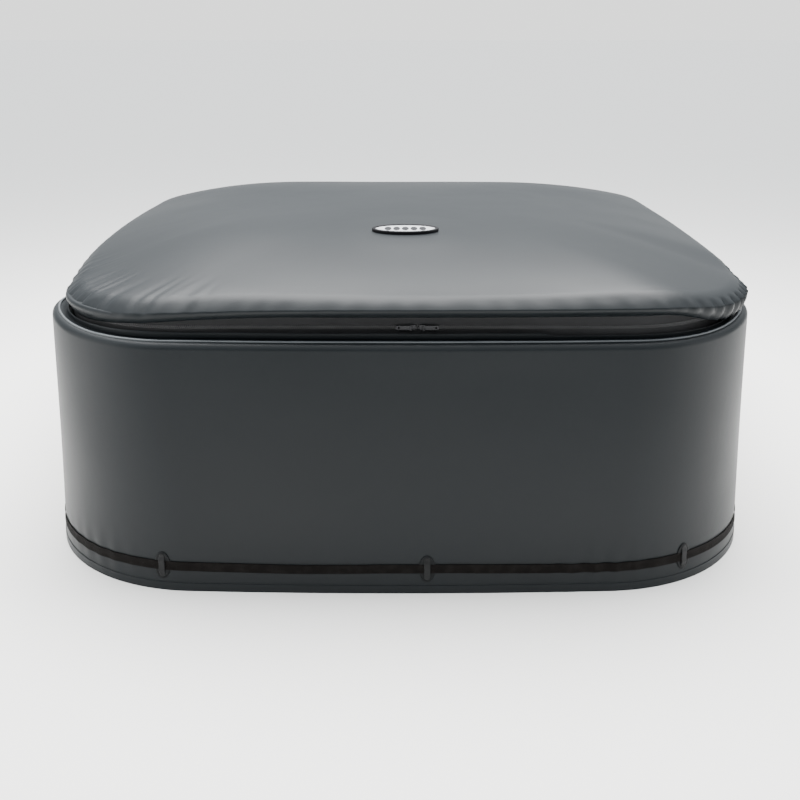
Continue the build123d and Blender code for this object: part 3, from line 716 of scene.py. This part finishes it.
BLADDER_INSET = 0.022
BLADDER_UNDER = 0.12        # share of its rows that lie under it
BLADDER_FOOT = LID_BASE + 0.006
BLADDER_LOWEST = LID_BASE + 0.004
FOLD_ROW = (UNDER_ROWS + TUCK_ROWS) / LID_ROWS


def bladder_place(share, rise):
    """The lid's form a little inside the cloth, with a flat underside."""
    under = min(rise / BLADDER_UNDER, 1.0)
    climb = max(rise - BLADDER_UNDER, 0) / (1 - BLADDER_UNDER)
    point = lid_place(share, between(FOLD_ROW, 1, climb), BLADDER_INSET)
    point.xy *= under
    point.z = between(BLADDER_FOOT, max(point.z, BLADDER_LOWEST), under)
    return point


vinyl_look = moulded_look("Bladder vinyl", shade(0.30, 0.34, 0.38), 0.22, 90.0)
vinyl = new_material("Bladder vinyl", vinyl_look, 0.3, 0.001, Coat_Weight=0.3)
bladder = wrap("air_bladder", 300, 60, bladder_place, weld=2e-4)
bladder.data.materials.append(vinyl)
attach(bladder, "lid")
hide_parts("bladder")
dress("bladder_baffles", vinyl)

# ======== Lid's lining ========
# The underside is a sheet of quilted film, sewn in round the edge. It lies flat along the pocket
# that the bladder goes in by, and round the opening for the valve.

LINING_QUILT = 0.15
LINING_HALF = EDGE_HALF - LEDGE / 2
LINING_CORNER = EDGE_CORNER - LEDGE / 2
LINING_GAP = 0.0001
LID_FILM = 0.0008
VALVE = Vector((0.620, -0.560))
POCKET_Y = -0.800
POCKET_HALF = 0.5


def lid_lining_place(share, rise):
    if rise > POLE:
        return Vector((0.0, 0.0, LID_BASE - LINING_GAP))
    half = LINING_HALF * (1 - rise) + 0.0005
    point, _ = outline(share, half, LINING_CORNER * (1 - rise) + 0.0002)
    flat = ease(0.03, 0.10, (point - VALVE).length)
    if abs(point.x) < POCKET_HALF:
        flat *= ease(0.02, 0.07, abs(point.y - POCKET_Y))
    puff = QUILT_DEPTH * quilt(point.x, point.y, LINING_QUILT) * flat * ease(0.0, 0.04, rise)
    return Vector((point.x, point.y, LID_BASE - LINING_GAP - puff))


lid_inside = wrap("lid_foil", 480, 100, lid_lining_place, weld=2e-4)
thicken(lid_inside, LID_FILM)
lid_inside.data.materials.append(foil)
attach(lid_inside, "lid")
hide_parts("lid_lining")

# ======== Bladder's valve ========
# The valve is moulded in soft vinyl and welded to the bladder, with a cap on a short tether. It
# looks out through a plastic collar in the lining.

dress("bladder_valve", vinyl)
dress("valve_cap", vinyl)
dress("valve_collar", black_plastic)

# ======== Hinge band ========
# At the rear the lid has no zip. A plain band of cloth, sewn to the wall's ledge and to the lid's
# edge, joins the two and bends when the lid is folded back.

HINGE_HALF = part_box("rear_hinge_band")[1][0]
HINGE_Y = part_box("rear_hinge_band")[1][1]
HINGE_THICKNESS = 0.0018
HINGE_SLACK = 0.0025
HINGE_IN = 0.0012           # from the band's outer face to its middle


def hinge_place(share, rise):
    """A closed strip across the rear, from the ledge up to the lid's edge."""
    bow = sqrt(max(SIDE_BOW**2 - (HINGE_HALF * share) ** 2, 0)) - SIDE_BOW
    turn = rise * 2 * pi
    middle = (WALL_HEIGHT + LID_BASE) / 2
    tall = (LID_BASE - WALL_HEIGHT) / 2 + 0.0005
    height = middle - tall * flat_topped(1.15 * cos(turn))
    slack = HINGE_SLACK * noise.noise(Vector((share * 6, height * 12, 4.0)))
    depth = HINGE_THICKNESS / 2 * flat_topped(4 * sin(turn)) + slack
    return Vector((share * HINGE_HALF, HINGE_Y - HINGE_IN + bow + depth, height))


bm = bmesh.new()
bmesh.ops.create_grid(bm, x_segments=120, y_segments=24, size=1.0)
for vert in bm.verts:
    vert.co = hinge_place(vert.co.x, (vert.co.y + 1) / 2)
bmesh.ops.remove_doubles(bm, verts=bm.verts, dist=1e-5)
bmesh.ops.holes_fill(bm, edges=bm.edges)
bmesh.ops.recalc_face_normals(bm, faces=bm.faces)
hinge_cloth = from_bmesh("hinge_cloth", bm)
hinge_cloth.data.materials.append(slate)
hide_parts("rear_hinge_band")
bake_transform(hinge_cloth)

# ======== Badge's rim ========
# The badge is an oval moulding pressed through the lid's cloth near the front. Its rim is black
# plastic and stands a little proud.

BADGE_LENGTH = 0.200
BADGE_WIDTH = 0.094
BADGE_RIM = 0.010
BADGE_TALL = 0.009
badge_share = -BADGE.y / RIDGE_HALF
BADGE_RISE = LID_BASE + RIDGE_RISE + CROWN * (1 - badge_share**3)
BADGE_SLOPE = 3 * CROWN * badge_share**2 / RIDGE_HALF


def on_badge(share, half_length, half_width, up):
    """A point of an oval that lies on the crown's slope, raised by up."""
    angle = share * 2 * pi
    along = half_length * cos(angle)
    deep = half_width * sin(angle)
    return Vector((BADGE.x + along, BADGE.y + deep, BADGE_RISE + BADGE_SLOPE * deep + up))


def rim_place(share, rise):
    side = rise * 2 * pi
    width = BADGE_RIM / 2 * flat_topped(1.3 * cos(side))
    up = BADGE_TALL * (0.1 + 0.9 * flat_topped(1.2 * sin(side)))
    half_length = (BADGE_LENGTH - BADGE_RIM) / 2 + width
    half_width = (BADGE_WIDTH - BADGE_RIM) / 2 + width
    return on_badge(share, half_length, half_width, up)


rim_look = moulded_look("Badge rim", shade(0.005, 0.005, 0.006), 0.55, 200.0)
gloss_black = new_material("Badge rim", rim_look, 0.05, 0.0003, Specular_IOR_Level=0.08)
badge_ring = wrap("badge_ring", 120, 20, rim_place)
badge_ring.data.materials.append(gloss_black)
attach(badge_ring, "lid")
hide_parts("badge_rim")

# ======== Badge's plate ========
# Inside the rim lies a plate of brushed silver foil on plastic, with five bubbles printed on it in
# a row.

PLATE_TUCK = BADGE_RIM * 0.8    # how far it stays inside the rim's outer edge
PLATE_FOOT = 0.002
PLATE_TOP = BADGE_TALL - 0.0025
BUBBLES = 5
BUBBLE_PITCH = 0.026
BUBBLE_RADIUS = 0.0105


def plate_place(share, rise):
    reach = min(1.0, 2.4 * (0.5 - abs(rise - 0.5)))
    up = PLATE_FOOT if rise < 0.5 else PLATE_TOP
    half_length = (BADGE_LENGTH / 2 - PLATE_TUCK) * reach
    half_width = (BADGE_WIDTH / 2 - PLATE_TUCK) * reach
    return on_badge(share, half_length, half_width, up)


badge_plate = new_material("Badge plate", None, Metallic=0.15, Roughness=0.5, Specular_IOR_Level=0.2)
tree = badge_plate.node_tree
place = add_node(tree, "ShaderNodeTexCoord").outputs["Object"]
spot = add_node(tree, "ShaderNodeSeparateXYZ", {"Vector": place})
along = calc(tree, "SUBTRACT", spot.outputs["X"], BADGE.x)
deep = calc(tree, "SUBTRACT", spot.outputs["Y"], BADGE.y)
beside = calc(tree, "PINGPONG", along, BUBBLE_PITCH / 2)
tall = calc(tree, "MULTIPLY", calc(tree, "ABSOLUTE", deep), 0.5)
far = calc(tree, "SQRT", calc(tree, "ADD", calc(tree, "POWER", beside, 2.0), calc(tree, "POWER", tall, 2.0)))
bubble = calc(tree, "LESS_THAN", far, BUBBLE_RADIUS)
in_row = calc(tree, "LESS_THAN", calc(tree, "ABSOLUTE", along), BUBBLE_PITCH * BUBBLES / 2)
printed = calc(tree, "MULTIPLY", bubble, in_row)
grain = add_node(tree, "ShaderNodeMapping", {"Vector": place, "Scale": (30.0, 900.0, 30.0)})
brushed = {"Vector": grain.outputs["Vector"], "Scale": 3.0, "Detail": 3.0}
brush = add_node(tree, "ShaderNodeTexNoise", brushed)
silver = blend_colour(tree, brush.outputs["Fac"], shade(0.34, 0.35, 0.36), shade(0.50, 0.51, 0.52))
face = blend_colour(tree, printed, silver, shade(0.010, 0.010, 0.012))
tree.links.new(face, tree.nodes["Principled BSDF"].inputs["Base Color"])
plate = wrap("badge_plate", 120, 12, plate_place)
plate.data.materials.append(badge_plate)
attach(plate, "lid")
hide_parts("badge_face")

# ======== Belt ========
# Dark woven webbing runs round the foot of the wall, through the loops, and buckles at the rear.
# It holds the cover down in wind. It lies on the wall and hangs a little between two loops.

BELT_WIDTH = 0.026
BELT_THICKNESS = 0.0016
BELT_ROUND = 7.650
BELT_SAG = 0.0035
BELT_WANDER = 0.0006
SNUG_STAND = 0.0012         # gap between the wall and the belt
belt_low, belt_high = (Vector(corner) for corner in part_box("belt_webbing"))
BUCKLE_STAND = belt_high.x - wall_size(BELT_HEIGHT)[0] - BELT_THICKNESS    # the same at the buckle
LOOP_PITCH = 0.737          # along the wall
FRONT_LOOP = 0.075          # from the front's middle


def belt_stand(share):
    return between(SNUG_STAND, BUCKLE_STAND, near_buckle(share))


def belt_lift(share, height):
    step = (away(share, 0.0) * BELT_ROUND - FRONT_LOOP) / LOOP_PITCH
    sag = -BELT_SAG * sin(pi * (step % 1.0)) ** 2 * (1 - near_buckle(share))
    return sag + BELT_WANDER * uneven(share, 11, 0.0, 6)


def woven_look(name, base, thread, across, along):
    """Flat woven tape, its UV's X along the tape and its Y across: rows of slanted picks, a little dusty."""
    group = new_group(name, "Height")
    coordinates = add_node(group, "ShaderNodeTexCoord").outputs
    split = add_node(group, "ShaderNodeSeparateXYZ", {"Vector": coordinates["UV"]})
    warp = calc(group, "SINE", calc(group, "MULTIPLY", split.outputs["Y"], 2 * pi * across))
    pick = calc(group, "SINE", calc(group, "MULTIPLY", split.outputs["X"], 2 * pi * along))
    lift = calc(group, "MULTIPLY_ADD", calc(group, "MULTIPLY", warp, pick), 0.5, 0.5)
    dusty = {"Vector": coordinates["Object"], "Scale": 40.0, "Detail": 4.0}
    dust = add_node(group, "ShaderNodeTexNoise", dusty)
    colour = blend_colour(group, lift, base, thread)
    worn = calc(group, "MULTIPLY", ramp(group, dust.outputs["Fac"], 0.45, 0.8), 0.12)
    faded = blend_colour(group, worn, colour, shade(0.05, 0.045, 0.042))
    add_node(group, "NodeGroupOutput", {"Color": faded, "Height": lift})
    return group


webbing_look = woven_look("Webbing", shade(0.0016, 0.0012, 0.0010), shade(0.005, 0.0037, 0.0031), 18, 5200)
webbing = new_material("Webbing", webbing_look, 0.6, 0.0008, Roughness=0.78, Specular_IOR_Level=0.10)
belt_foot = BELT_HEIGHT - BELT_WIDTH / 2
belt_piece = strip_round(
    "belt_tape", belt_foot, belt_foot + BELT_WIDTH, belt_stand, BELT_THICKNESS, 14, belt_lift
)
belt_piece.data.materials.append(webbing)
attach(belt_piece, "wall")
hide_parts("belt_webbing")

# ======== Belt loops ========
# Ten oval patches of cloth are welded to the wall, one every 0.74 m. Each holds a short moulded
# strap that climbs over the belt, welded down at its two ends.

LOOPS = 10
FIRST_LOOP = -4             # steps from the loop at the front to the first one, at the rear
PATCH_WIDTH = 0.046
PATCH_HEIGHT = 0.080
PATCH_THICKNESS = 0.0022
PATCH_SINK = 0.001
STRAP_WIDTH = 0.017
STRAP_HEIGHT = 0.068
STRAP_THICKNESS = 0.0024
STRAP_END = 0.006           # how much of each end lies flat on the patch


def on_wall(middle, along, up, out):
    return wall_place(middle + along / BELT_ROUND, BELT_HEIGHT + up, out)


def patch_place(middle, turn, rise):
    """A flat oval button: from its back's middle, over its rim, to its front's middle."""
    reach = min(1.0, 2.6 * (0.5 - abs(rise - 0.5)))
    angle = turn * 2 * pi
    out = -PATCH_SINK if rise < 0.5 else PATCH_THICKNESS
    return on_wall(middle, PATCH_WIDTH / 2 * reach * cos(angle), PATCH_HEIGHT / 2 * reach * sin(angle), out)


def strap_place(middle, turn, rise):
    """A strap with rounded edges that lies on the patch, climbs over the belt and comes down again."""
    angle = turn * 2 * pi
    up = (rise - 0.5) * STRAP_HEIGHT
    over = belt_stand(middle) + BELT_THICKNESS + STRAP_THICKNESS
    climb = 1 - ease(BELT_WIDTH / 2, STRAP_HEIGHT / 2 - STRAP_END, abs(up))
    lie = between(PATCH_THICKNESS, over, climb)
    narrow = sqrt(max(1 - (abs(up) / (STRAP_HEIGHT / 2)) ** 8, 0.0))
    across = STRAP_WIDTH / 2 * narrow * flat_topped(1.25 * cos(angle))
    depth = STRAP_THICKNESS / 2 * flat_topped(1.8 * sin(angle))
    return on_wall(middle, across, up, lie + depth)


def ten_loops(name, columns, rows, place):
    """The same small piece at every loop, as one mesh."""
    bm = bmesh.new()
    for number in range(LOOPS):
        middle = (FRONT_LOOP + (number + FIRST_LOOP) * LOOP_PITCH) / BELT_ROUND
        made = bmesh.ops.create_grid(bm, x_segments=columns, y_segments=rows, size=0.5)
        for vert in made["verts"]:
            vert.co = place(middle, vert.co.x + 0.5, vert.co.y + 0.5)
    bmesh.ops.remove_doubles(bm, verts=bm.verts, dist=2e-5)
    bmesh.ops.recalc_face_normals(bm, faces=bm.faces)
    piece = from_bmesh(name, bm)
    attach(piece, "wall")
    return piece


patch_look = laminate_look("Loop patch", shade(0.0035, 0.004, 0.0045), shade(0.006, 0.007, 0.0075), 0.45)
patch_vinyl = new_material("Loop patch", patch_look, 0.3, 0.001, Specular_IOR_Level=0.14)
patches = ten_loops("loop_patches", 40, 12, patch_place)
patches.data.materials.append(patch_vinyl)
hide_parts("belt_loop_patches")

strap_look = moulded_look("Loop strap", shade(0.004, 0.0042, 0.0046), 0.42)
strap_plastic = new_material("Loop strap", strap_look, 0.2, 0.0004, Specular_IOR_Level=0.2)
straps = ten_loops("loop_straps", 16, 40, strap_place)
straps.data.materials.append(strap_plastic)
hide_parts("belt_loop_bridges")

# ======== Buckle and keeper ========
# A side-release buckle, moulded in black plastic, closes the belt at the rear. A sliding keeper
# beside it holds the loose end.

for node in ("buckle_socket", "buckle_plug", "strap_keeper"):
    dress(node, black_plastic)

# ======== Floor, surround and lights ========
# The cover stands on a pale floor that runs back into a pale surround. One broad light hangs
# overhead and a smaller one stands at each side.

FLOOR_SIZE = 300.0
bm = bmesh.new()
bmesh.ops.create_grid(bm, x_segments=1, y_segments=1, size=FLOOR_SIZE)
ground = from_bmesh("ground", bm, smooth=False)
paper = new_material("Pale floor", None, Base_Color=shade(0.95, 0.93, 0.90), Roughness=0.9)
ground.data.materials.append(paper)

world = bpy.data.worlds.new("Surround")
bpy.context.scene.world = world
world.use_nodes = True
tree = world.node_tree
towards = add_node(tree, "ShaderNodeTexCoord").outputs["Generated"]
heading = add_node(tree, "ShaderNodeSeparateXYZ", {"Vector": towards})
overhead = ramp(tree, heading.outputs["Z"], 0.25, 0.95)
behind = ramp(tree, heading.outputs["Y"], 0.1, 0.8)
skyline = ramp(tree, heading.outputs["Z"], 0.10, 0.03)
glow = calc(tree, "MULTIPLY_ADD", overhead, 2.6, 0.2)
backdrop = calc(tree, "MULTIPLY", behind, calc(tree, "MULTIPLY_ADD", skyline, 0.95, 0.62))
tint = blend_colour(tree, skyline, shade(0.92, 0.965, 1.0), shade(0.97, 0.98, 0.97))
background = tree.nodes["Background"].inputs
tree.links.new(tint, background["Color"])
tree.links.new(calc(tree, "ADD", glow, backdrop), background["Strength"])


def softbox(name, place, aim, size, power):
    light = bpy.data.lights.new(name, "AREA")
    light.shape = "RECTANGLE"
    light.size, light.size_y = size
    light.energy = power
    holder = bpy.data.objects.new(name, light)
    holder.location = place
    holder.rotation_euler = (Vector(aim) - Vector(place)).to_track_quat("-Z", "Y").to_euler()
    bpy.context.collection.objects.link(holder)


softbox("Overhead", (0, 0.4, 3.6), (0, 0, 0.8), (4.4, 2.6), 620)
softbox("Left side", (-3.6, -1.6, 1.2), (0, -0.4, 0.6), (2.4, 2.2), 52)
softbox("Right side", (3.6, -1.6, 1.2), (0, -0.4, 0.6), (2.4, 2.2), 32)

# ======== Camera ========
# A standing person's view, from about two and a half metres in front of the cover and looking
# down on it.

CAMERA_PLACE = (0.0, -3.482, 1.456)
CAMERA_DOWN = 20.17         # degrees below level
camera_data = bpy.data.cameras.new("Camera")
camera_data.lens = 44.74
camera_data.sensor_width = 36.0
camera_data.clip_end = 800.0
camera = bpy.data.objects.new("Camera", camera_data)
camera.location = CAMERA_PLACE
camera.rotation_euler = (radians(90 - CAMERA_DOWN), 0.0, 0.0)
bpy.context.collection.objects.link(camera)
bpy.context.scene.camera = camera
